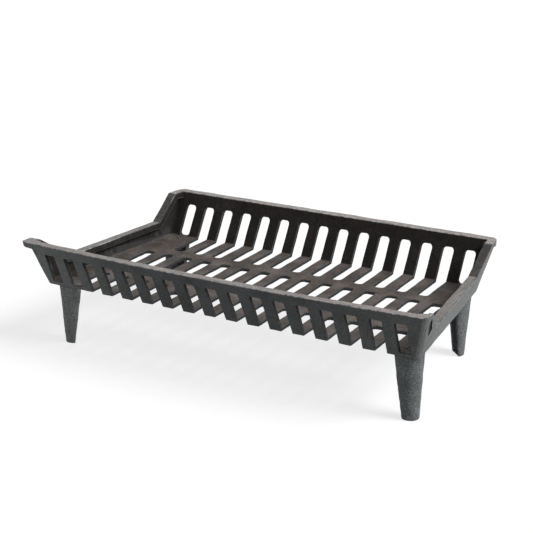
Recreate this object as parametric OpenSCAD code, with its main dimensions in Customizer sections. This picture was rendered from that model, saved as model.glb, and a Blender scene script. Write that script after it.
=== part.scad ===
// Log grate: a cast iron fireplace grate. One slotted tray casting stands on
// four bolted half-round legs. Millimetres, +Z up, the bowed front faces -Y.
// The tray casting is the skilful piece: slots that wrap from the leaning front
// wall over the lower edge into a thin barred floor, and up the back wall again.

/* [Tray] */

// overall length over the front, from the left lug to the right corner
rim_l = 610; // [450:1:760]

// overall depth at the middle, from the bowed front to the back rim
rim_d = 352; // [260:1:440]

// height of the tray casting, underside to rim
tray_h = 64; // [45:1:90]

// thickness of the leaning walls
wall_t = 5; // [3.5:0.5:8]

// thickness of the barred floor
floor_t = 4.8; // [3.5:0.1:8]

// how far the front rim bows out at the middle
front_bow = 10; // [0:0.5:20]

// lean of the front wall, run per rise
front_lean = 0.35; // [0.1:0.01:0.6]

// lean of the back wall, run per rise
back_lean = 0.61; // [0.1:0.01:0.8]

// lean of the left end wall, run per rise
end_lean_left = 0.2; // [0.1:0.01:0.4]

// lean of the right end wall, run per rise
end_lean_right = 0.24; // [0.1:0.01:0.4]

// how much each end closes in toward the back, per mm of depth
end_taper = 0.11; // [0:0.01:0.2]

// outer corner radius of the walls
corner_r = 9; // [4:0.5:20]

/* [Rim] */

// width of the rim's flat top
rim_w = 13; // [8:0.5:20]

// thickness of the rim
rim_t = 9; // [5:0.5:14]

// the flange of the low end starts this far before the end of the ear's curve
ear_in = 4; // [0:0.5:10]

// how far the back rim stands out past the back wall
back_rim_out = 8.4; // [0:0.2:15]

// how far the front left lug stands out past the end wall
lug_out = 9; // [4:0.5:20]

// how far the slots' middle stands right of the middle of the whole length
body_x = 6; // [0:0.5:12]

// depth of the lug and of the flat corners, front to back
ear_flat = 22; // [12:1:40]

// chamfer under the lug
lug_chamfer = 2; // [1:0.5:6]

/* [End walls] */

// height of the low part of the end walls above the underside
end_low_h = 30; // [20:1:50]

// run of the curved front ear, from the flat corner down to the low part
ear_run = 42; // [20:1:80]

// bulge of the ear's curve, 1 is straight and 2 is a quarter ellipse
ear_power = 1.12; // [1:0.02:2.5]

// run of the straight rise at the back
rise_run = 48; // [20:1:80]

// flat rim left behind the top of that rise
back_flat = 33; // [15:1:60]

// width of the casting recess beside the front right corner
recess_w = 11.5; // [4:0.5:14]

// length of that recess, between its round ends
recess_l = 19; // [8:1:26]

// middle of that recess, behind the front of the rim
recess_in = 32.5; // [24:0.5:44]

// middle of that recess, below the top of the rim
recess_down = 23.5; // [18:0.5:30]

// depth of that recess
recess_d = 2; // [0.5:0.1:3]

/* [Slots] */

// number of slots across the front wall
slot_n = 17; // [9:2:21]

// distance from slot to slot
slot_pitch = 33; // [26:0.5:45]

// width of each slot
slot_w = 16; // [10:0.5:24]

// plain band above the slots, on the front wall
front_band = 14.6; // [8:0.2:30]

// plain band above the slots, on the back wall
back_band = 17; // [8:0.5:30]

// height of the closed bottom under the front end windows
window_sill = 6.5; // [5.5:0.5:20]

// depth of the closed floor behind the second window, beside the left leg's pad
window_shelf = 14; // [13:0.5:30]

// corner radius at the top of the front slots
slot_r = 2; // [0.5:0.5:6]

// corner radius at the top of the back slots and at the slot ends in the floor
arch_r = 5; // [1:0.5:7.5]

// width of the two solid bands across the floor
spine_w = 22; // [12:1:40]

// length of the middle row of floor slots
mid_row = 91; // [50:1:140]

// length of the floor bars from the front wall's foot to the first band
front_row = 67; // [40:1:120]

/* [Legs] */

// height of a leg, floor to tray
leg_h = 91.5; // [50:0.5:140]

// outer radius of the half-round leg at its top
leg_r_top = 19.2; // [14:0.2:30]

// outer radius of the half-round leg at its foot
leg_r_foot = 11.8; // [8:0.2:20]

// thickness of the leg's shell
leg_t = 4.5; // [3:0.5:8]

// thickness of the pad that closes a leg's top
pad_t = 6; // [4:0.5:10]

// how far the shell wraps past a half-round at its top, tapering to none at the foot
leg_wrap = 9.7; // [9.2:0.1:14]

// how far the right feet stand out sideways from their legs' tops
splay_right = 2.2; // [0:0.2:10]

// how far the left feet stand out sideways from their legs' tops
splay_left = 6.4; // [0:0.2:10]

// how far each foot stands in toward the middle of the depth
leg_toe = 4.3; // [0:0.1:8]

// the front legs stand this far behind the foot of the front wall
leg_behind = 2.9; // [0:0.1:10]

// the left legs stand this far in from the end wall's foot
leg_in_left = 9; // [0:0.5:30]

// the front right leg stands this far in from the end wall's foot
leg_in_front = 1; // [0:0.5:30]

// the back right leg stands this far in from the end wall's foot
leg_in_back = 4; // [0:0.5:30]

/* [Bolts] */

// shank diameter of the leg bolts
bolt_d = 6.35; // [5:0.05:10]

// clearance of the bolt in its holes, on the diameter
bolt_clear = 0.9; // [0.2:0.1:2]

// running clearance of the nut on the shank, on the diameter
nut_clear = 0.1; // [0.05:0.05:0.3]

// diameter of the flush countersunk bolt head
head_d = 12.7; // [10:0.1:14]

// width of the driver slot across the head
drive_w = 1.6; // [1:0.1:2.5]

// depth of the driver slot
drive_d = 1.4; // [0.8:0.1:2]

// outer diameter of the washer
washer_d = 16; // [12:0.5:22]

// thickness of the washer
washer_t = 1.6; // [1:0.1:3]

// width of the nut across its flats
nut_af = 11.1; // [9:0.1:17]

// height of the nut
nut_h = 5.6; // [4:0.1:9]

// how far the shank shows under the nut
bolt_show = 2.2; // [0.5:0.1:6]

/* [Hidden] */

cast_col = [0.24, 0.26, 0.27];
leg_col = [0.29, 0.32, 0.33];
steel_col = [0.42, 0.42, 0.43];

side_k = sqrt(1 + end_taper * end_taper);
side_a = atan(end_taper);
half_left = rim_l / 2 + body_x - lug_out;
half_right = rim_l / 2 - body_x;

// lines of the walls at the underside, y in the frame of the whole object
back_y1 = rim_d / 2;
front_y1 = -rim_d / 2 + front_bow;
front_y0 = front_y1 + front_lean * tray_h;
back_top_y = back_y1 - back_rim_out;
back_y0 = back_top_y - back_lean * tray_h;
end_shift = end_taper * (front_y1 + corner_r) + corner_r * (side_k - 1);
base_left = half_left + end_shift - end_lean_left * tray_h;
base_right = half_right + end_shift - end_lean_right * tray_h;

// horizontal thicknesses of the leaning walls
front_ht = wall_t * sqrt(1 + front_lean * front_lean);
back_ht = wall_t * sqrt(1 + back_lean * back_lean);
end_ht = wall_t * sqrt(1 + end_lean_right * end_lean_right);

// rows of floor slots
row_a_end = front_y0 + front_row;
row_b_start = row_a_end + spine_w;
row_b_end = row_b_start + mid_row;
row_c_start = row_b_end + spine_w;
slot_top_f = tray_h - front_band;
slot_top_b = tray_h - back_band;

// end wall profile
ear_y0 = front_y1 + ear_flat;
ear_y1 = ear_y0 + ear_run;
rise_y1 = back_y1 - back_flat;
rise_y0 = rise_y1 - rise_run;
ear_n = 10;

// middles of the slots, and half the number of flats in the bowed front
slot_x = [for (i = [0 : slot_n - 1]) (i - (slot_n - 1) / 2) * slot_pitch];
bow_n = 9;

// half length at the outer face of an end wall
function left_at(y, z) = base_left - end_taper * y + end_lean_left * z;
function right_at(y, z) = base_right - end_taper * y + end_lean_right * z;

// legs: top centres in the body's frame
leg_yf = front_y0 + leg_r_top + leg_behind;
leg_yb = back_y0 - leg_r_top;
leg_x_fr = right_at(leg_yf, 0) - leg_r_top - leg_in_front;
leg_x_br = right_at(leg_yb, 0) - leg_r_top - leg_in_back;
leg_x_fl = -(left_at(leg_yf, 0) - leg_r_top - leg_in_left);
leg_x_bl = -(left_at(leg_yb, 0) - leg_r_top - leg_in_left);
hole_d = bolt_d + bolt_clear;
head_h = (head_d - bolt_d) / 2;
shank_l = floor_t + pad_t + washer_t + nut_h + bolt_show;

// ---------------------------------------------------------------- outlines

function bow(x, z) = front_bow * z / tray_h * max(0, 1 - pow(x / half_right, 2));

// arc points of a right-hand corner, centre at (cx, cy)
function arc(cx, cy, r, a0, a1, n) =
    [for (i = [0 : n]) [cx + r * cos(a0 + (a1 - a0) * i / n), cy + r * sin(a0 + (a1 - a0) * i / n)]];

function mirror_pts(p) = [for (i = [len(p) - 1 : -1 : 0]) [-p[i][0], p[i][1]]];

// one end of the tray's outline, its two rounded corners, as a right-hand end
function end_arcs(h, yf, yb, r) =
    [arc(h - end_taper * (yf + r) - r * side_k, yf + r, r, -90, side_a, 4),
     arc(h - end_taper * (yb - r) - r * side_k, yb - r, r, side_a, 90, 4)];

// outline of the tray at height z, set in by the given amounts
function outline(z, in_f, in_b, in_e, r) =
    let (yf = front_y0 - front_lean * z + in_f,
         yb = back_y0 + back_lean * z - in_b,
         right = end_arcs(base_right + end_lean_right * z - in_e, yf, yb, r),
         left = end_arcs(base_left + end_lean_left * z - in_e, yf, yb, r),
         fr = right[0],
         fl = left[0],
         front = [for (i = [1 - bow_n : bow_n - 1]) [(i < 0 ? fl[0][0] : fr[0][0]) * i / bow_n, yf]],
         ring = concat(right[1], mirror_pts(concat(fl, left[1])), front, fr))
    [for (p = ring) [p[0], p[1] < 0 ? p[1] - bow(p[0], z) : p[1], z]];

// solid between two outlines that have the same number of points
module frustum(a, b) {
    n = len(a);
    polyhedron(
        points = concat(a, b),
        faces = concat(
            [[for (i = [0 : n - 1]) i]],
            [[for (i = [n - 1 : -1 : 0]) n + i]],
            [for (i = [0 : n - 1]) [i, n + i, (i + 1) % n]],
            [for (i = [0 : n - 1]) [(i + 1) % n, n + i, n + (i + 1) % n]]),
        convexity = 4);
}

// ------------------------------------------------------------- tray casting

module tray_outer() {
    frustum(outline(0, 0, 0, 0, corner_r), outline(tray_h, 0, 0, 0, corner_r));
}

module tray_cavity() {
    r = corner_r - wall_t + 1;
    top = tray_h + 1;
    frustum(outline(floor_t, front_ht, back_ht, end_ht, r),
            outline(top, front_ht, back_ht, end_ht, r));
}

module rim_opening() {
    r = corner_r - wall_t + 1;
    top = tray_h + 1;
    frustum(outline(floor_t, rim_w, back_ht, rim_w, r),
            outline(top, rim_w, back_ht, rim_w, r));
}

// the curved ears have no flange, only the wall's own thickness
module thin_ears() {
    y0 = front_y1 + rim_w + front_lean * rim_t;
    intersection() {
        tray_cavity();
        translate([-rim_l, y0, floor_t])
            cube([2 * rim_l, ear_y1 - ear_in - y0, tray_h]);
    }
}

// side view of the wall tops, y then z, from the front to the back
function profile(dz, dy_ear, dy_rise) = concat(
    [[-rim_d, tray_h - dz]],
    [for (i = [0 : ear_n])
        let (u = i / ear_n)
        [ear_y0 + dy_ear + ear_run * u,
         end_low_h - dz + (tray_h - end_low_h) * pow(1 - pow(u, ear_power), 1 / ear_power)]],
    [[rise_y0 + dy_rise, end_low_h - dz],
     [rise_y1 + dy_rise, tray_h - dz],
     [rim_d, tray_h - dz]]);

module along_x(length) {
    rotate([90, 0, 90])
        translate([0, 0, -length / 2])
            linear_extrude(length)
                children();
}

module above_profile() {
    along_x(rim_l + 100)
        polygon(concat(profile(0, 0, 0), [[rim_d, tray_h + 20], [-rim_d, tray_h + 20]]));
}

// room inside the walls, up to the underside of the rim
module room_below_rim() {
    low = profile(rim_t, -rim_t / 2, rim_t / 4);
    intersection() {
        tray_cavity();
        along_x(rim_l + 100)
            polygon(concat([[-rim_d, -5]], low, [[rim_d, -5]]));
    }
}

// the back rim stands out behind the back wall
module back_rim() {
    ym = back_top_y - back_lean * rim_t - 2;
    z = tray_h - rim_t / 2;
    translate([0, 0, tray_h - rim_t])
        linear_extrude(rim_t)
            polygon([[-left_at(ym, z), ym], [right_at(ym, z), ym],
                     [right_at(back_y1, z), back_y1 - 6], [right_at(back_y1, z) - 6, back_y1],
                     [-left_at(back_y1, z) + 6, back_y1], [-left_at(back_y1, z), back_y1 - 6]]);
}

// lug at the front left corner, cut back and chamfered underneath
module front_lug() {
    x0 = -(half_left + lug_out);
    x1 = -(half_left - rim_w - 5);
    c = lug_chamfer;
    intersection() {
        translate([0, ear_y0, tray_h])
            rotate([90, 0, 0])
                linear_extrude(ear_flat + 2)
                    polygon([[x1, 0], [x0, 0], [x0 + 3.5, c - rim_t], [x0 + 3.5 + c, -rim_t], [x1, -rim_t]]);
        along_x(3 * rim_l)
            polygon([[front_y1, tray_h], [front_y1 + front_lean * rim_t, tray_h - rim_t],
                     [ear_y0, tray_h - rim_t], [ear_y0, tray_h]]);
        translate([0, 0, tray_h - 2 * rim_t])
            linear_extrude(3 * rim_t)
                polygon([[x1, front_y1 - 1], [x0 + 8, front_y1 - 1], [x0, front_y1 + 4.5],
                         [x0, ear_y0 - 2], [x0 + 4, ear_y0], [x1, ear_y0]]);
    }
}

// slot seen from the front: rounded top, open or rounded bottom
module slot_face(z0, z1, r_top, r_bot) {
    w = slot_w / 2;
    union() {
        translate([-w, z0 + r_bot])
            square([slot_w, z1 - z0 - r_bot - r_top]);
        if (r_top > 0) {
            translate([-w + r_top, z1 - r_top - 0.5])
                square([slot_w - 2 * r_top, r_top + 0.5]);
            for (s = [-1, 1])
                translate([s * (w - r_top), z1 - r_top])
                    circle(r = r_top, $fn = 32);
        }
        if (r_bot > 0) {
            translate([-w + r_bot, z0])
                square([slot_w - 2 * r_bot, r_bot + 0.5]);
            for (s = [-1, 1])
                translate([s * (w - r_bot), z0 + r_bot])
                    circle(r = r_bot, $fn = 32);
        }
    }
}

// the same shape laid flat in the floor
module slot_floor(y0, y1, r0, r1) {
    translate([0, 0, -1])
        linear_extrude(floor_t + 2)
            slot_face(y0, y1, r1, r0);
}

module wall_cut(y0, y1) {
    translate([0, y1, 0])
        rotate([90, 0, 0])
            linear_extrude(y1 - y0)
                children();
}

module front_slots() {
    for (i = [0 : slot_n - 1])
        translate([slot_x[i], 0, 0]) {
            closed = (i < 2 || i == slot_n - 1);
            wall_cut(-rim_d, front_y0 + 12)
                slot_face(closed ? window_sill : -1, slot_top_f, slot_r, closed ? slot_r : 0);
            if (!closed)
                slot_floor(front_y0 - 5, row_a_end, 0, arch_r);
            if (i == 1)
                slot_floor(front_y0 + window_shelf, row_a_end, arch_r, arch_r);
        }
}

module middle_slots() {
    for (i = [1 : slot_n - 2])
        translate([slot_x[i], 0, 0])
            slot_floor(row_b_start, row_b_end, arch_r, arch_r);
}

module back_slots() {
    for (i = [2 : slot_n - 3])
        translate([slot_x[i], 0, 0]) {
            slot_floor(row_c_start, back_y0 + 5, arch_r, 0);
            wall_cut(back_y0 - 12, rim_d)
                slot_face(-1, slot_top_b, arch_r, 0);
        }
    for (i = [1, slot_n - 2])
        translate([slot_x[i], 0, 0])
            wall_cut(back_y0 - 12, rim_d)
                slot_face(floor_t, slot_top_b, arch_r, arch_r);
}

// shallow casting recess in the right end wall, beside the front corner
module end_recess() {
    y = front_y1 + recess_in;
    z = tray_h - recess_down;
    translate([right_at(y, z), y, z])
        rotate([0, 90 + atan(end_lean_right), side_a])
            rotate([0, 0, 38])
                translate([0, 0, -recess_d]) {
                    linear_extrude(recess_d + 10)
                        translate([-recess_l / 2, -recess_w / 2])
                            square([recess_l, recess_w]);
                    for (s = [-1, 1])
                        translate([s * recess_l / 2, 0, 0])
                            cylinder(h = recess_d + 10, d = recess_w, $fn = 32);
                }
}

module bolt_holes() {
    for (p = [[leg_x_fl, leg_yf], [leg_x_fr, leg_yf], [leg_x_bl, leg_yb], [leg_x_br, leg_yb]])
        translate([p[0], p[1], 0]) {
            translate([0, 0, -1])
                cylinder(h = floor_t + 2, d = hole_d, $fn = 48);
            translate([0, 0, floor_t - head_h])
                cylinder(h = head_h + 1, d1 = bolt_d, d2 = head_d + 2, $fn = 64);
        }
}

module tray_casting() {
    color(cast_col)
        translate([body_x, 0, leg_h])
            difference() {
                union() {
                    tray_outer();
                    back_rim();
                    front_lug();
                }
                room_below_rim();
                rim_opening();
                thin_ears();
                above_profile();
                front_slots();
                middle_slots();
                back_slots();
                end_recess();
                bolt_holes();
            }
}

// --------------------------------------------------------------------- legs

// a cone that leans from the foot at (fx, fy), extended past both ends to be cut flat
module lean_cone(fx, fy, inset) {
    ext = 5;
    dr = (leg_r_top - leg_r_foot) / leg_h;
    translate([fx, fy, 0])
        rotate([0, 0, atan2(fy, fx)])
            rotate([0, -atan(norm([fx, fy]) / leg_h), 0])
                translate([0, 0, -ext])
                    cylinder(h = leg_h + 2 * ext, r1 = leg_r_foot - inset - dr * ext,
                             r2 = leg_r_top - inset + dr * ext, $fn = 64);
}

// hollow half-round shell, open toward the middle of the tray, closed by a pad on top
module leg(sx, sy, splay) {
    big = 3 * leg_r_top;
    fx = sx * splay;
    fy = -sy * leg_toe;
    u0 = (splay - leg_toe) * cos(45);
    du = (-leg_wrap - u0) / leg_h;
    intersection() {
        translate([-big, -big, 0])
            cube([2 * big, 2 * big, leg_h]);
        difference() {
            lean_cone(fx, fy, 0);
            intersection() {
                lean_cone(fx, fy, leg_t);
                translate([-big, -big, -1])
                    cube([2 * big, 2 * big, leg_h - pad_t + 1]);
            }
            rotate([0, 0, atan2(sy, sx)])
                rotate([90, 0, 0])
                    translate([0, 0, -big])
                        linear_extrude(2 * big)
                            polygon([[u0 - du, -1], [u0 + du * (leg_h + 1), leg_h + 1],
                                     [-big, leg_h + 1], [-big, -1]]);
            translate([0, 0, leg_h - pad_t - 1])
                cylinder(h = pad_t + 2, d = hole_d, $fn = 48);
        }
    }
}

module place(x, y) {
    translate([body_x + x, y, 0])
        children();
}

module leg_front_left() { color(leg_col) place(leg_x_fl, leg_yf) leg(-1, -1, splay_left); }
module leg_front_right() { color(leg_col) place(leg_x_fr, leg_yf) leg(1, -1, splay_right); }
module leg_back_left() { color(leg_col) place(leg_x_bl, leg_yb) leg(-1, 1, splay_left); }
module leg_back_right() { color(leg_col) place(leg_x_br, leg_yb) leg(1, 1, splay_right); }

// ---------------------------------------------------------------- fasteners

// flat head bolt, its head flush in the floor of the tray
module bolt(turn) {
    z0 = leg_h + floor_t;
    difference() {
        union() {
            translate([0, 0, z0 - shank_l])
                cylinder(h = shank_l - 0.5, d = bolt_d, $fn = 48);
            translate([0, 0, z0 - head_h])
                cylinder(h = head_h, d1 = bolt_d, d2 = head_d, $fn = 64);
        }
        rotate([0, 0, turn])
            translate([-head_d, -drive_w / 2, z0 - drive_d])
                cube([2 * head_d, drive_w, drive_d + 1]);
    }
}

module washer() {
    translate([0, 0, leg_h - pad_t - washer_t])
        difference() {
            cylinder(h = washer_t, d = washer_d, $fn = 48);
            translate([0, 0, -1])
                cylinder(h = washer_t + 2, d = hole_d, $fn = 48);
        }
}

module nut(turn) {
    translate([0, 0, leg_h - pad_t - washer_t - nut_h])
        rotate([0, 0, turn])
            difference() {
                cylinder(h = nut_h, d = nut_af / cos(30), $fn = 6);
                translate([0, 0, -1])
                    cylinder(h = nut_h + 2, d = bolt_d + nut_clear, $fn = 48);
            }
}

module bolt_front_left() { color(steel_col) place(leg_x_fl, leg_yf) bolt(20); }
module bolt_front_right() { color(steel_col) place(leg_x_fr, leg_yf) bolt(75); }
module bolt_back_left() { color(steel_col) place(leg_x_bl, leg_yb) bolt(140); }
module bolt_back_right() { color(steel_col) place(leg_x_br, leg_yb) bolt(100); }

module washer_front_left() { color(steel_col) place(leg_x_fl, leg_yf) washer(); }
module washer_front_right() { color(steel_col) place(leg_x_fr, leg_yf) washer(); }
module washer_back_left() { color(steel_col) place(leg_x_bl, leg_yb) washer(); }
module washer_back_right() { color(steel_col) place(leg_x_br, leg_yb) washer(); }

module nut_front_left() { color(steel_col) place(leg_x_fl, leg_yf) nut(10); }
module nut_front_right() { color(steel_col) place(leg_x_fr, leg_yf) nut(25); }
module nut_back_left() { color(steel_col) place(leg_x_bl, leg_yb) nut(0); }
module nut_back_right() { color(steel_col) place(leg_x_br, leg_yb) nut(50); }

tray_casting();
leg_front_left();
leg_front_right();
leg_back_left();
leg_back_right();
bolt_front_left();
bolt_front_right();
bolt_back_left();
bolt_back_right();
washer_front_left();
washer_front_right();
washer_back_left();
washer_back_right();
nut_front_left();
nut_front_right();
nut_back_left();
nut_back_right();
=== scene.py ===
"""A cast iron log grate: one slotted tray casting bolted on four half-round legs."""
import math

import bmesh
import bpy
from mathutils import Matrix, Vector, noise
from mathutils.bvhtree import BVHTree


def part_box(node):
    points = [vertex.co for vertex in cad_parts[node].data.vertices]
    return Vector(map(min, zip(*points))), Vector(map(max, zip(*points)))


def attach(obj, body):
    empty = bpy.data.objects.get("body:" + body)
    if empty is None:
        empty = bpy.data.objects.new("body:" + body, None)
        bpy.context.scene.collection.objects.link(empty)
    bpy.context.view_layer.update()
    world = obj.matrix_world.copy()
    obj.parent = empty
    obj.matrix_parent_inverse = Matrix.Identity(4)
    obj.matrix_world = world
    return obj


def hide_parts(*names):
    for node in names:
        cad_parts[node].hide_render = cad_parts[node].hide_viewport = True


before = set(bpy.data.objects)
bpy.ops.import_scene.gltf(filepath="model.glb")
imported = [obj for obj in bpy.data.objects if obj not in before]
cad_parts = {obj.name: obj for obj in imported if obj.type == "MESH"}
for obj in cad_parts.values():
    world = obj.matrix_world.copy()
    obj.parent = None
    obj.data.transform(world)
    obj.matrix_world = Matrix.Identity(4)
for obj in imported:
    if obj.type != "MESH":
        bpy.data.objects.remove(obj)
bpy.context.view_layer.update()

MM = 0.001
IMAGE_PX = 533                             # width of the photograph
LENS_PX = 1336.9                           # focal length of the photograph, in its own pixels
SENSOR = 36.0                              # width of the camera's film, in mm
CAMERA_AT = (0.8639, -1.5368, 0.7230)
CAMERA_DOWN = 18.87                        # degrees that the camera looks down
CAMERA_TURN = 29.51                        # degrees that it stands round to the right

TRAY_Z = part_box("tray_casting")[0].z       # underside of the tray's floor
FLOOR_T = 4.8 * MM                         # thickness of the barred floor
SLOT_PITCH = 33 * MM
SLOT_X = 6 * MM                            # middle of the ninth slot of seventeen
SLOT_HALF = 8 * MM                         # half the width of a slot
SLOT_REACH = 8.4 * SLOT_PITCH              # the row of slots reaches this far from the ninth
MID_X = 3 * MM                             # middle of the floor, between the end walls
END_X = 0.262                              # the ends lie farther than this from the middle

# The walls lean: the first value is where a face stands, level with the floor's underside, and the
# second is how far it moves along X or Y for each metre up. The ends close in by END_SKEW for each
# metre toward the back.
FRONT_Y, FRONT_LEAN = -138.3 * MM, -0.35   # inside of the front wall
BACK_Y, BACK_LEAN = 122.7 * MM, 0.61       # inside of the back wall
RIGHT_X, RIGHT_LEAN = 272.4 * MM, 0.24     # outside of the right end
LEFT_X, LEFT_LEAN = -266 * MM, -0.2        # outside of the left end
END_SKEW = 0.11

# heights above the floor's underside
BARS_UP = 8 * MM                           # clear of the bars
ENDS_UP = 24 * MM                          # where the low ends' tops begin
RIM_UP = 52 * MM                           # where the rim begins

# the small casting recess in the outside of the right end wall
RECESS_Y, RECESS_Z = -133.5 * MM, 132 * MM
RECESS_TURN = 38                           # degrees that it leans from upright
RECESS_HALF = 9.5 * MM                     # half its length between the round ends
RECESS_R = 6.4 * MM                        # its round ends, with their arris
RECESS_SKIN = 0.35 * MM                    # its floor and sides lie at least this deep

# small nicks in the front rim: place in metres, radius and depth in mm
NICKS = (
    ((0.2628, -0.1684, 0.1552), 1.7, 1.7),
    ((-0.2154, -0.1634, 0.1554), 1.3, 0.6),
    ((-0.1600, -0.1662, 0.1554), 1.5, 0.7),
)

BOLT_D = 6.35 * MM
THREAD_PITCH = 1.27 * MM                   # quarter inch coarse thread
THREAD_DEPTH = 0.42 * MM
THREAD_ROWS = 8                            # rows of points for each turn of the thread
NECK = 3 * MM                              # the plain neck goes this far below the tray

CORNERS = ("front_left", "front_right", "back_left", "back_right")
LEG_PAINTED_LIGHT = (1.0, 0.08, 0.1, 0.3)      # how much each corner's leg is painted paler, as painted light
TRAY_MARKS = ("worn", "rub_and_top_light", "thin", "bed", "soot_and_shade", "rail_y")

# near black for soot, and for painted shade inside the tray, in the slots and in the recess
SOOT_AND_SHADE = "17120e"
ASH_DARK, ASH, ASH_PALE = "3d3530", "544b46", "6b625e"
# pale bare iron for rubbed faces, and painted top light on the upward faces
RUBBED_AND_TOP_LIT = "9b9491"
WORN_EDGE = "b3afac"
# pale grey painted over faces as painted light
PAINTED_LIGHT_GREY = "8a8c8c"
STEEL_DARK, STEEL, STEEL_RUST = "3a3836", "5f5e5d", "5a463a"


# ------------------------------------------------------------------ small helpers

def srgb(hexa):
    """An sRGB hex colour as linear RGBA."""
    out = []
    for i in (0, 2, 4):
        c = int(hexa[i:i + 2], 16) / 255
        out.append(c / 12.92 if c <= 0.04045 else ((c + 0.055) / 1.055) ** 2.4)
    return (*out, 1.0)


def node(tree, kind, inputs=None, stops=None, **settings):
    """Adds a node. An input takes a socket to link or a value, and stops are a colour ramp's."""
    n = tree.nodes.new(kind)
    for key, value in settings.items():
        setattr(n, key, value)
    for key, value in (inputs or {}).items():
        if isinstance(value, bpy.types.NodeSocket):
            tree.links.new(value, n.inputs[key])
        else:
            n.inputs[key].default_value = value
    if stops:
        elements = n.color_ramp.elements
        while len(elements) < len(stops):
            elements.new(0.5)
        for element, (place, tone) in zip(elements, stops):
            element.position = place
            element.color = tone if isinstance(tone, tuple) else (tone, tone, tone, 1)
    return n


def new_material(name):
    """A material with its shader and its output."""
    mat = bpy.data.materials.new(name)
    mat.use_nodes = True
    tree = mat.node_tree
    tree.nodes.clear()
    shader = node(tree, "ShaderNodeBsdfPrincipled")
    out = node(tree, "ShaderNodeOutputMaterial", {"Surface": shader.outputs[0]})
    return mat, tree, shader, out


# --------------------------------------------------------------------- materials

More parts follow.
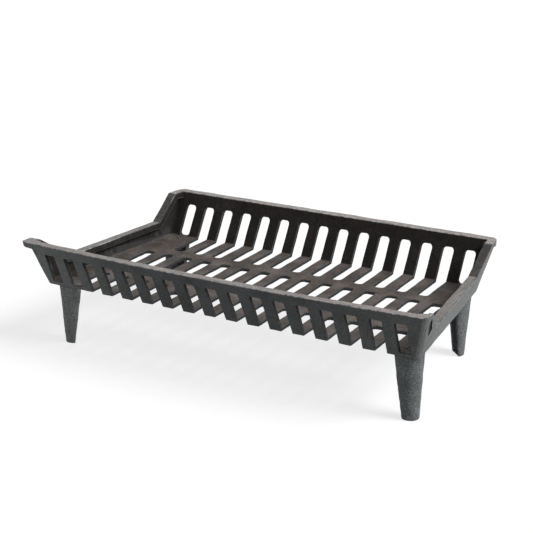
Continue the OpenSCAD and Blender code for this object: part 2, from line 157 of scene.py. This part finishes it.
def grey_iron(name, wash, cloud_mm, grain_mm, grain_depth, grain_tone, rough):
    """Grey cast iron as it leaves the sand, with a thin dull wash of black.

    To the eye it is dark and dull, with a rough print that breaks up the light. Real
    moulding sand is finer than a millimetre, so the print is drawn coarser, to show.
    wash is its darkest, middle and palest tone and cloud_mm the size of its patches.
    grain_mm and grain_depth are the size and depth of the sand's print, in mm. The mesh
    says where faces are painted paler as painted light (thin), where the wash is
    rubbed off and the tops are painted lighter as painted top light (rub_and_top_light, worn),
    which faces run from front to back (rail_y), where ash lies (bed) and where soot and
    painted shade darken it (soot_and_shade).
    """
    spot_mm = 7               # size of the spots that break up each finish
    streak_mm = 2.6           # width of the rubbed streaks
    streak_long = 0.045       # their width as a share of their length
    mat, tree, shader, _ = new_material(name)
    at = node(tree, "ShaderNodeTexCoord").outputs["Object"]
    mark = {m: node(tree, "ShaderNodeAttribute", attribute_name=m).outputs["Fac"] for m in TRAY_MARKS}

    def patches(size_mm, detail, stretch=(1, 1, 1)):
        """Soft patches of a real size, longer one way where stretch is under 1."""
        scale = [s / (size_mm * MM) for s in stretch]
        spread = node(tree, "ShaderNodeMapping", {"Vector": at, "Scale": scale})
        settings = {"Vector": spread.outputs[0], "Scale": 1.0, "Detail": detail, "Roughness": 0.65}
        return node(tree, "ShaderNodeTexNoise", settings).outputs[0]

    def lay(finish, under, where, broken):
        """Lays a finish over what is under it where a mark says, broken up by the spots."""
        spotty = node(tree, "ShaderNodeValToRGB", {0: spots}, stops=broken).outputs[0]
        amount = node(tree, "ShaderNodeMath", {0: mark[where], 1: spotty}, operation="MULTIPLY").outputs[0]
        over = node(tree, "ShaderNodeMix", {0: amount, 6: under, 7: finish}, data_type="RGBA").outputs[2]
        return over, amount

    cloud, spots, grain = patches(cloud_mm, 4.0), patches(spot_mm, 3.0), patches(grain_mm, 4.0)
    along_x = patches(streak_mm, 2.0, (streak_long, 1, 1))
    along_y = patches(streak_mm, 2.0, (1, streak_long, 1))

    # the wash: patches of thicker and thinner black, and faces painted paler as painted light
    dark, base, pale = (srgb(tone) for tone in wash)
    black_wash = node(tree, "ShaderNodeValToRGB", {0: cloud}, stops=[(0.3, dark), (0.5, base), (0.7, pale)])
    thinned = {0: mark["thin"], 6: black_wash.outputs[0], 7: srgb(PAINTED_LIGHT_GREY)}
    colour = node(tree, "ShaderNodeMix", thinned, data_type="RGBA").outputs[2]

    # bare, lightly oxidised iron on rubbed faces and arrises, in streaks along the rails; on the tops it is
    # also painted top light
    colour, _ = lay(srgb(RUBBED_AND_TOP_LIT), colour, "rub_and_top_light", [(0.3, 0.62), (0.6, 1.0)])
    colour, _ = lay(srgb(WORN_EDGE), colour, "worn", [(0.38, 0.1), (0.6, 0.95)])
    streak = node(tree, "ShaderNodeMix", {0: mark["rail_y"], 6: along_x, 7: along_y}, data_type="RGBA")
    streak = node(tree, "ShaderNodeValToRGB", {0: streak.outputs[2]},
                  stops=[(0.34, 0.66), (0.48, 1.0), (0.64, 1.16)])
    colour = node(tree, "ShaderNodeMix", {0: mark["rub_and_top_light"], 6: colour, 7: streak.outputs[0]},
                  data_type="RGBA", blend_type="MULTIPLY").outputs[2]

    # a film of ash and rust on the bars, and near black over it, for soot and for painted shade inside the
    # tray
    film = node(tree, "ShaderNodeValToRGB", {0: cloud},
                stops=[(0.36, srgb(ASH_DARK)), (0.5, srgb(ASH)), (0.62, srgb(ASH_PALE))])
    colour, _ = lay(film.outputs[0], colour, "bed", [(0.3, 0.55), (0.6, 1.0)])
    colour, soot_and_shade_amount = lay(srgb(SOOT_AND_SHADE), colour, "soot_and_shade", [(0.32, 1.0), (0.7, 0.84)])

    # the sand's print, in tone and in relief
    print_tone = node(tree, "ShaderNodeValToRGB", {0: grain},
                      stops=[(0.3, 1 - grain_tone), (0.5, 1.0), (0.7, 1 + grain_tone)])
    colour = node(tree, "ShaderNodeMix", {0: 1.0, 6: colour, 7: print_tone.outputs[0]},
                  data_type="RGBA", blend_type="MULTIPLY").outputs[2]
    tree.links.new(colour, shader.inputs["Base Color"])
    swell = {"Height": spots, "Strength": 1.0, "Distance": 1.6 * grain_depth * MM}
    swell = node(tree, "ShaderNodeBump", swell).outputs[0]
    relief = {"Height": grain, "Normal": swell, "Strength": 1.0, "Distance": grain_depth * MM}
    tree.links.new(node(tree, "ShaderNodeBump", relief).outputs[0], shader.inputs["Normal"])

    # soot and the painted shade are quite dull, and the wash is duller in the print's hollows
    shine = node(tree, "ShaderNodeValToRGB", {0: grain}, stops=[(0.3, rough + 0.12), (0.7, rough - 0.08)])
    dull = node(tree, "ShaderNodeMix", {0: soot_and_shade_amount, 6: shine.outputs[0], 7: (1, 1, 1, 1)}, data_type="RGBA")
    tree.links.new(dull.outputs[2], shader.inputs["Roughness"])
    shader.inputs["Specular IOR Level"].default_value = 0.27
    return mat


def bolt_steel():
    """Plain steel fasteners, dulled by smoke, with a little rust and with ash on the heads.

    To the eye it is dark metal with a soft gleam between dull stains.
    """
    stain_mm, grain_mm, grain_depth = 5, 0.5, 0.04
    mat, tree, shader, _ = new_material("smoked_plain_steel")
    at = node(tree, "ShaderNodeTexCoord").outputs["Object"]
    film = node(tree, "ShaderNodeAttribute", attribute_name="bed").outputs["Fac"]
    settings = {"Vector": at, "Scale": 1 / (stain_mm * MM), "Detail": 4.0, "Roughness": 0.6}
    stain = node(tree, "ShaderNodeTexNoise", settings).outputs[0]
    grain = node(tree, "ShaderNodeTexNoise", {"Vector": at, "Scale": 1 / (grain_mm * MM), "Detail": 2.0})

    tone = node(tree, "ShaderNodeValToRGB", {0: stain},
                stops=[(0.35, srgb(STEEL_DARK)), (0.55, srgb(STEEL)), (0.72, srgb(STEEL_RUST))])
    dusty = node(tree, "ShaderNodeMix", {0: film, 6: tone.outputs[0], 7: srgb(ASH)}, data_type="RGBA")
    tree.links.new(dusty.outputs[2], shader.inputs["Base Color"])
    bare = node(tree, "ShaderNodeMath", {0: 1.0, 1: film}, operation="SUBTRACT")
    tree.links.new(bare.outputs[0], shader.inputs["Metallic"])
    shine = node(tree, "ShaderNodeValToRGB", {0: stain}, stops=[(0.35, 0.6), (0.6, 0.38), (0.75, 0.7)])
    ash_dull = (0.8, 0.8, 0.8, 1)
    dull = node(tree, "ShaderNodeMix", {0: film, 6: shine.outputs[0], 7: ash_dull}, data_type="RGBA")
    tree.links.new(dull.outputs[2], shader.inputs["Roughness"])
    relief = {"Height": grain.outputs[0], "Strength": 1.0, "Distance": grain_depth * MM}
    tree.links.new(node(tree, "ShaderNodeBump", relief).outputs[0], shader.inputs["Normal"])
    return mat


iron_tray = grey_iron("grey_iron_tray_black_wash", ("3f4243", "4e5152", "5e6162"),
                      cloud_mm=48, grain_mm=2.4, grain_depth=0.2, grain_tone=0.26, rough=0.66)
iron_leg = grey_iron("grey_iron_leg_coarse_sand", ("5b5f60", "65696a", "727677"),
                     cloud_mm=20, grain_mm=2.1, grain_depth=0.55, grain_tone=0.62, rough=0.7)
steel = bolt_steel()


# --------------------------------------------------------------------- cast pieces

def merged(name, whole_faces=True):
    """The CAD mesh of a node as one merged mesh, its flat faces whole if they have no holes."""
    bm = bmesh.new()
    bm.from_mesh(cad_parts[name].data)
    bmesh.ops.remove_doubles(bm, verts=bm.verts, dist=0.001 * MM)
    if whole_faces:
        bmesh.ops.dissolve_limit(bm, angle_limit=math.radians(0.6), verts=bm.verts, edges=bm.edges)
    return bm


def fade(value, start, length):
    """0 up to start, 1 from start plus length on, and a steady rise between."""
    return min(max((value - start) / length, 0.0), 1.0)


def middle(name):
    """The axis of an upright round piece, as x and y."""
    low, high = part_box(name)
    return (low.x + high.x) / 2, (low.y + high.y) / 2


def face_mark(bm, name):
    """The layer of a mark on the faces, made if it isn't there."""
    return bm.faces.layers.float.get(name) or bm.faces.layers.float.new(name)


def round_edges(bm, width, least_angle=28):
    """Rounds every edge sharper than least_angle, and marks the rounded arrises as worn.

    Inner corners get the same fillet, unmarked. Where a rounding overshoots in a tight
    corner, its point goes to its neighbour.
    """
    raised = 0.02 * width        # a rounded arris lies at least this far under the sharp one
    overshoot = 0.75 * width     # farther from the casting than this, a point has overshot
    worn = face_mark(bm, "worn")
    before = BVHTree.FromBMesh(bm)
    sharp = [e for e in bm.edges if e.is_manifold and e.calc_face_angle() > math.radians(least_angle)]
    made = bmesh.ops.bevel(bm, geom=sharp, offset=width, offset_type="WIDTH", segments=2, profile=0.5,
                           affect="EDGES", clamp_overlap=False)
    for f in made["faces"]:
        at = f.calc_center_median()
        near, outward, _, _ = before.find_nearest(at)
        f[worn] = 1.0 if (near - at).dot(outward) > raised else 0.0
    astray = {v for v in bm.verts if before.find_nearest(v.co)[3] > overshoot}
    weld = {}
    for v in astray:
        kept = [e.other_vert(v) for e in v.link_edges if e.other_vert(v) not in astray]
        if kept:
            weld[v] = min(kept, key=lambda k: ((k.co - v.co).length, tuple(k.co)))
    bmesh.ops.weld_verts(bm, targetmap=weld)
    bmesh.ops.triangulate(bm, faces=[f for f in bm.faces if len(f.verts) > 4])


def slice_mesh(bm, axis, start, stop, step, near=None, reach=0.0):
    """Cuts the faces, not the body, by planes step apart, so that the surface can bend.

    With near, only the faces within reach of that point are cut.
    """
    normal = [0, 0, 0]
    normal[axis] = 1
    for i in range(1, int((stop - start) / step) + 1):
        at = [0, 0, 0]
        at[axis] = start + i * step
        faces = bm.faces[:]
        if near is not None:
            faces = [f for f in faces if (f.calc_center_median() - near).length < reach]
        part = {e for f in faces for e in f.edges}
        points = {v for f in faces for v in f.verts}
        bmesh.ops.bisect_plane(bm, geom=[*points, *part, *faces], dist=0.05 * MM,
                               plane_co=at, plane_no=normal)


def sand_cast(bm, waves, dents=(), seed=0.0, still=()):
    """Moves the surface in and out as a sand mould does.

    waves are (size, height) pairs and dents are (point, radius, depth). Round each
    bolt in still the surface stays flat, so that the pieces still meet there.
    """
    flat_radius, flat_fade = 17 * MM, 12 * MM
    bm.normal_update()
    shift = Vector((seed, 2.3 * seed, -1.7 * seed))
    moves = []
    for v in bm.verts:
        d = sum(height * noise.noise(v.co / size + shift) for size, height in waves)
        for axis in still:
            if v.co.z < TRAY_Z + BARS_UP:
                d *= fade((v.co.xy - axis).length, flat_radius, flat_fade)
        for point, radius, depth in dents:
            away = (v.co - point).length
            if away < 3 * radius:
                d -= depth * math.exp(-(away / radius) ** 2)
        moves.append(v.normal * d)
    for v, m in zip(bm.verts, moves):
        v.co += m


def finish_piece(bm, name, material, nodes):
    """Makes the object, with shading weighted toward the large faces, and puts it on the frame."""
    mesh = bpy.data.meshes.new(name)
    bm.to_mesh(mesh)
    bm.free()
    mesh.shade_smooth()
    mesh.set_sharp_from_angle(angle=math.radians(50))
    draft = bpy.data.objects.new(name + "_draft", mesh)
    bpy.context.scene.collection.objects.link(draft)
    draft.modifiers.new("weighted", "WEIGHTED_NORMAL").keep_sharp = True
    graph = bpy.context.evaluated_depsgraph_get()
    whole = bpy.data.meshes.new_from_object(draft.evaluated_get(graph), depsgraph=graph)
    bpy.data.objects.remove(draft)
    whole.name = name
    whole.materials.clear()
    whole.materials.append(material)
    piece = bpy.data.objects.new(name, whole)
    bpy.context.scene.collection.objects.link(piece)
    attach(piece, "root")
    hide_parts(*nodes)
    return piece


def front_inside(at):
    """Where the inside of the front wall stands, level with a point."""
    return FRONT_Y + FRONT_LEAN * (at.z - TRAY_Z)


def back_inside(at):
    return BACK_Y + BACK_LEAN * (at.z - TRAY_Z)


def right_outside(at):
    """Where the outside of the right end stands, beside a point."""
    return RIGHT_X - END_SKEW * at.y + RIGHT_LEAN * (at.z - TRAY_Z)


def left_outside(at):
    return LEFT_X + END_SKEW * at.y + LEFT_LEAN * (at.z - TRAY_Z)


def in_recess(at):
    """Whether a point is in the small casting recess of the right end wall."""
    turn = math.radians(RECESS_TURN)
    y, z = at.y - RECESS_Y, at.z - RECESS_Z
    along = y * math.sin(turn) - z * math.cos(turn)
    beside = y * math.cos(turn) + z * math.sin(turn)
    behind = at.x > 0.27 and right_outside(at) - at.x > RECESS_SKIN
    return behind and math.hypot(max(abs(along) - RECESS_HALF, 0), beside) < RECESS_R


def arris_marks(at, n, side, low_end, in_slot):
    """How far a rounded arris of the tray is worn bare, or darkened by soot and painted shade."""
    under_rim = at.z - TRAY_Z < RIM_UP
    if low_end and under_rim and n.x * side > 0 and n.z > 0.3:            # painted shadow line along the outer arris of the low ends' tops
        return {"worn": 0.0, "soot_and_shade": 0.3}
    bare = 1.0 if low_end or at.z - TRAY_Z > RIM_UP else 0.15
    if at.y > 0.09:                                                       # less bare near the back corners, as painted shade there
        bare *= 1 - 0.75 * fade(abs(side), 0.2, 0.06)
    # arrises in the slots under the rim get painted shade
    return {"worn": bare, "soot_and_shade": 0.5 if in_slot and not low_end and under_rim else 0.0}


def tray_marks(at, n, arris):
    """How the wash, ash, soot, painted light and painted shade lie on a face of the tray, from its middle and
    its normal.
    """
    up, side = at.z - TRAY_Z, at.x - MID_X
    from_slot = abs((at.x - SLOT_X + SLOT_PITCH / 2) % SLOT_PITCH - SLOT_PITCH / 2)
    in_slot = from_slot < SLOT_HALF + 1.2 * MM and abs(at.x - SLOT_X) < SLOT_REACH
    in_wall = not front_inside(at) + 1 * MM < at.y < back_inside(at) - 1 * MM
    low_end = abs(side) > END_X and -0.15 < at.y < 0.136 and up > ENDS_UP
    back_skin = n.y < -0.4 and abs(at.y - back_inside(at)) < 2.5 * MM
    front_skin = n.y > 0.4 and at.y < front_inside(at) + 2.5 * MM
    rim_skin = n.y > 0.4 and up > 50 * MM and abs(side) < 0.285 and at.y < -0.12

    # painted shade: the inside of the recess is painted near black
    if in_recess(at):
        return {"worn": 0.0, "soot_and_shade": 0.72}
    if arris:
        return arris_marks(at, n, side, low_end, in_slot)
    if n.z > 0.9 and up < BARS_UP:                                        # top of the bars: ash with a little soot, and painted shade toward the front left corner
        corner = fade(-at.x, 0.236, 0.02) if at.y < -0.09 else 0.0
        return {"bed": 1.0, "soot_and_shade": 0.1 + 0.65 * corner}
    if n.z > 0.9:                                                         # rim and low ends: rubbed, with painted top light, a little less on the left of the rim
        bare = 0.66 if up < RIM_UP else 0.96 - 0.11 * fade(-at.x, 0.1, 0.06)
        return {"rub_and_top_light": bare, "worn": 0.45 if at.y > 0.12 and up > RIM_UP else 0.0}
    if back_skin or front_skin or rim_skin:                               # inside of the long walls: painted shade, near black over ash
        return {"bed": 0.6, "soot_and_shade": 0.95}
    if n.x > 0.5 and at.x > right_outside(at) - 1.5 * MM:                 # outside of the right end: painted light, paler toward the back
        return {"thin": 0.36 + 0.18 * fade(at.y, -0.11, 0.05)}
    if n.x < -0.5 and at.x < left_outside(at) + 1.5 * MM:                 # outside of the left end: painted light
        return {"thin": 0.4}
    if in_slot and abs(n.x) > 0.5:                                        # sides of the slots: painted shade, near black
        return {"soot_and_shade": 0.94 if up > 12 * MM else 0.74}
    if in_slot and in_wall and n.z < -0.5 and BARS_UP < up < 56 * MM:     # heads of the slots: painted shade
        return {"soot_and_shade": 0.9}
    if abs(n.x) > 0.5 and n.x * side < 0 and abs(side) > 0.245:           # inside of the ends: painted shade, near black over ash
        return {"bed": 0.6, "soot_and_shade": 0.98}
    if n.z > 0.3 and up > 26 * MM:                                        # slopes of the ends: rubbed, with painted top light, painted shade on the back slopes and a little darker on the front ones
        return {"rub_and_top_light": 0.6, "soot_and_shade": 0.72 if at.y > 0.05 else 0.1}
    if n.z < -0.9:                                                        # underside
        return {"soot_and_shade": 0.4}
    if n.x > 0.5 and side > END_X:                                        # right end of the rim: painted light
        return {"thin": 0.5}
    if n.y < -0.5 and at.y < -0.1:                                        # front: painted light, paler toward both ends
        left = fade(-at.x, 0.10, 0.17) * (0.66 if up > 44 * MM else 0.82)
        return {"thin": left + 0.16 * fade(at.x, 0.12, 0.15)}
    return {}


def mark_tray(bm):
    """Writes the marks of each face of the tray for its finish to read."""
    layers = {name: face_mark(bm, name) for name in TRAY_MARKS}
    bm.normal_update()
    for f in bm.faces:
        at = f.calc_center_median()
        f[layers["rail_y"]] = 1.0 if abs(at.x - MID_X) > END_X and abs(at.y) < 0.12 else 0.0
        for name, amount in tray_marks(at, f.normal, f[layers["worn"]] > 0).items():
            f[layers[name]] = amount


def tray_piece():
    """The slotted tray, with rounded arrises and the slightly wavy faces of a sand casting."""
    wave_step = 8 * MM                                       # fine enough for the waves
    nick_step, nick_half, nick_reach = 0.7 * MM, 5 * MM, 6 * MM
    bm = merged("tray_casting", whole_faces=False)
    round_edges(bm, 1.3 * MM)
    low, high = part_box("tray_casting")
    for axis in range(3):
        slice_mesh(bm, axis, low[axis], high[axis], wave_step)
    nicks = [(Vector(place), radius * MM, depth * MM) for place, radius, depth in NICKS]
    for place, _, _ in nicks:
        for axis in range(3):
            start, stop = place[axis] - nick_half, place[axis] + nick_half
            slice_mesh(bm, axis, start, stop, nick_step, place, nick_reach)
    bolts = [Vector(middle("bolt_" + corner)) for corner in CORNERS]
    mark_tray(bm)
    sand_cast(bm, [(34 * MM, 0.5 * MM), (14 * MM, 0.3 * MM)], dents=nicks, seed=3.1, still=bolts)
    return finish_piece(bm, "slotted_tray", iron_tray, ["tray_casting"])


def leg_piece(where, seed, thinned):
    """A hollow half-round leg with the coarse grain of a green sand mould."""
    name = "leg_" + where
    bm = merged(name)
    round_edges(bm, 1.2 * MM)
    low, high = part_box(name)
    slice_mesh(bm, 2, low.z, high.z, 3.5 * MM)
    thin, soot_and_shade = face_mark(bm, "thin"), face_mark(bm, "soot_and_shade")
    for f in bm.faces:
        # painted light: the whole leg is painted paler by its corner's share
        f[thin] = thinned
        # darker at its top, where it meets the tray
        f[soot_and_shade] = 0.6 * fade(f.calc_center_median().z, TRAY_Z - 3 * MM, 2 * MM)
    sand_cast(bm, [(14 * MM, 0.45 * MM), (5 * MM, 0.3 * MM)], seed=seed)
    for v in bm.verts:
        v.co.z = min(max(v.co.z, 0.0), TRAY_Z)
    return finish_piece(bm, "cast_leg_" + where, iron_leg, [name])


# ---------------------------------------------------------------------- fasteners

def thread(bm, x, y, z0, z1, sides=28):
    """A right-hand screw thread round a vertical shank, closed by a chamfered end below."""
    radius = BOLT_D / 2
    chamfer = 0.9 * MM
    rows = int((z1 - z0) / (THREAD_PITCH / THREAD_ROWS)) + 1
    rings = []
    for i in range(rows):
        z = z0 + (z1 - z0) * i / (rows - 1)
        ring = []
        for j in range(sides):
            turn = j / sides
            off_crest = abs(((z / THREAD_PITCH - turn) % 1.0) - 0.5) * 2
            r = min(radius - THREAD_DEPTH * off_crest, radius - chamfer + (z - z0))
            angle = 2 * math.pi * turn
            ring.append(bm.verts.new((x + r * math.cos(angle), y + r * math.sin(angle), z)))
        rings.append(ring)
    for a, b in zip(rings, rings[1:]):
        for j in range(sides):
            bm.faces.new((a[j], a[(j + 1) % sides], b[(j + 1) % sides], b[j]))
    bm.faces.new(rings[0][::-1])
    bm.faces.new(rings[-1])


def bolt_piece(where):
    """A flat head bolt: slotted head, plain neck, cut thread below."""
    name = "bolt_" + where
    low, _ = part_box(name)
    x, y = middle(name)
    neck = TRAY_Z - NECK
    bm = merged(name)
    cut = bmesh.ops.bisect_plane(bm, geom=bm.verts[:] + bm.edges[:] + bm.faces[:], dist=0.01 * MM,
                                 plane_co=(0, 0, neck), plane_no=(0, 0, -1), clear_outer=True)
    bmesh.ops.holes_fill(bm, edges=[g for g in cut["geom_cut"] if isinstance(g, bmesh.types.BMEdge)])
    round_edges(bm, 0.3 * MM)
    bed = face_mark(bm, "bed")
    for f in bm.faces:
        f[bed] = 1.0 if f.calc_center_median().z > TRAY_Z + FLOOR_T - 2 * MM else 0.0
    thread(bm, x, y, low.z, neck + 0.2 * MM)
    return finish_piece(bm, "flat_head_bolt_" + where, steel, [name])


def nut_piece(where):
    """A hexagon nut with its corners turned off on both faces."""
    name = "nut_" + where
    x, y = middle(name)
    bm = merged(name)
    reach = max(Vector((v.co.x - x, v.co.y - y)).length for v in bm.verts)
    corners = [v for v in bm.verts if Vector((v.co.x - x, v.co.y - y)).length > reach * 0.99]
    bmesh.ops.bevel(bm, geom=corners, offset=0.9 * MM, segments=1, affect="VERTICES", clamp_overlap=False)
    round_edges(bm, 0.2 * MM, 24)
    return finish_piece(bm, "hexagon_nut_" + where, steel, [name])


def washer_piece(where):
    """A stamped washer, its edges rolled over."""
    name = "washer_" + where
    bm = merged(name)
    round_edges(bm, 0.4 * MM)
    return finish_piece(bm, "flat_washer_" + where, steel, [name])


tray_piece()
for number, (corner, thinned) in enumerate(zip(CORNERS, LEG_PAINTED_LIGHT)):
    leg_piece(corner, 7.7 + 5.3 * number, thinned)
    bolt_piece(corner)
    washer_piece(corner)
    nut_piece(corner)


# ------------------------------------------------------- floor, light and camera

def seen_straight(tree):
    """1 for rays from the camera, a mirror or glass, 0 for the light that falls on the object."""
    ray = node(tree, "ShaderNodeLightPath").outputs
    some = node(tree, "ShaderNodeMath", {0: ray["Is Camera Ray"], 1: ray["Is Glossy Ray"]},
                operation="MAXIMUM").outputs[0]
    return node(tree, "ShaderNodeMath", {0: some, 1: ray["Is Transmission Ray"]},
                operation="MAXIMUM").outputs[0]


def stage_floor():
    """A plain pale floor. Its own glow makes it white to the camera, and the shadow stays on it."""
    half, grey, glow = 6.0, 0.34, 0.73
    mesh = bpy.data.meshes.new("floor")
    corners = [(-half, -half, 0), (half, -half, 0), (half, half, 0), (-half, half, 0)]
    mesh.from_pydata(corners, [], [(0, 1, 2, 3)])
    floor = bpy.data.objects.new("floor", mesh)
    bpy.context.scene.collection.objects.link(floor)
    mat, tree, shader, out = new_material("pale_floor")
    shader.inputs["Base Color"].default_value = (grey, grey, grey, 1)
    shader.inputs["Roughness"].default_value = 1.0
    shader.inputs["Specular IOR Level"].default_value = 0.0
    strength = node(tree, "ShaderNodeMath", {0: seen_straight(tree), 1: glow}, operation="MULTIPLY")
    white = node(tree, "ShaderNodeEmission", {"Strength": strength.outputs[0], "Color": (1, 1, 1, 1)})
    both = node(tree, "ShaderNodeAddShader", {0: shader.outputs[0], 1: white.outputs[0]})
    tree.links.new(both.outputs[0], out.inputs[0])
    mesh.materials.append(mat)


def sun(name, toward, strength, softness):
    """A soft lamp. toward is the direction from the object to the lamp."""
    data = bpy.data.lights.new(name, "SUN")
    data.energy = strength
    data.angle = math.radians(softness)
    lamp = bpy.data.objects.new(name, data)
    lamp.rotation_euler = Vector(toward).to_track_quat("Z", "Y").to_euler()
    bpy.context.scene.collection.objects.link(lamp)


def world_light(strength):
    """Even light from all round, and white where the camera looks past the floor."""
    world = bpy.data.worlds.new("studio")
    bpy.context.scene.world = world
    world.use_nodes = True
    tree = world.node_tree
    tree.nodes.clear()
    soft = node(tree, "ShaderNodeBackground", {"Color": (1, 1, 1, 1), "Strength": strength})
    white = node(tree, "ShaderNodeBackground", {"Color": (1, 1, 1, 1), "Strength": 1.0})
    mix = node(tree, "ShaderNodeMixShader", {0: seen_straight(tree), 1: soft.outputs[0], 2: white.outputs[0]})
    node(tree, "ShaderNodeOutputWorld", {"Surface": mix.outputs[0]})


def photo_camera():
    """The photograph's camera, as fitted to the slots, the floor bars and the feet."""
    data = bpy.data.cameras.new("photo_camera")
    data.sensor_width = SENSOR
    data.lens = LENS_PX / IMAGE_PX * SENSOR
    data.clip_end = 50
    cam = bpy.data.objects.new("photo_camera", data)
    cam.location = CAMERA_AT
    cam.rotation_euler = (math.radians(90 - CAMERA_DOWN), 0, math.radians(CAMERA_TURN))
    bpy.context.scene.collection.objects.link(cam)
    bpy.context.scene.camera = cam


stage_floor()
world_light(0.28)
sun("key_right_above", (0.74, 0.1, 0.66), 2.95, 30)
photo_camera()
bpy.context.scene.view_settings.view_transform = "Standard"
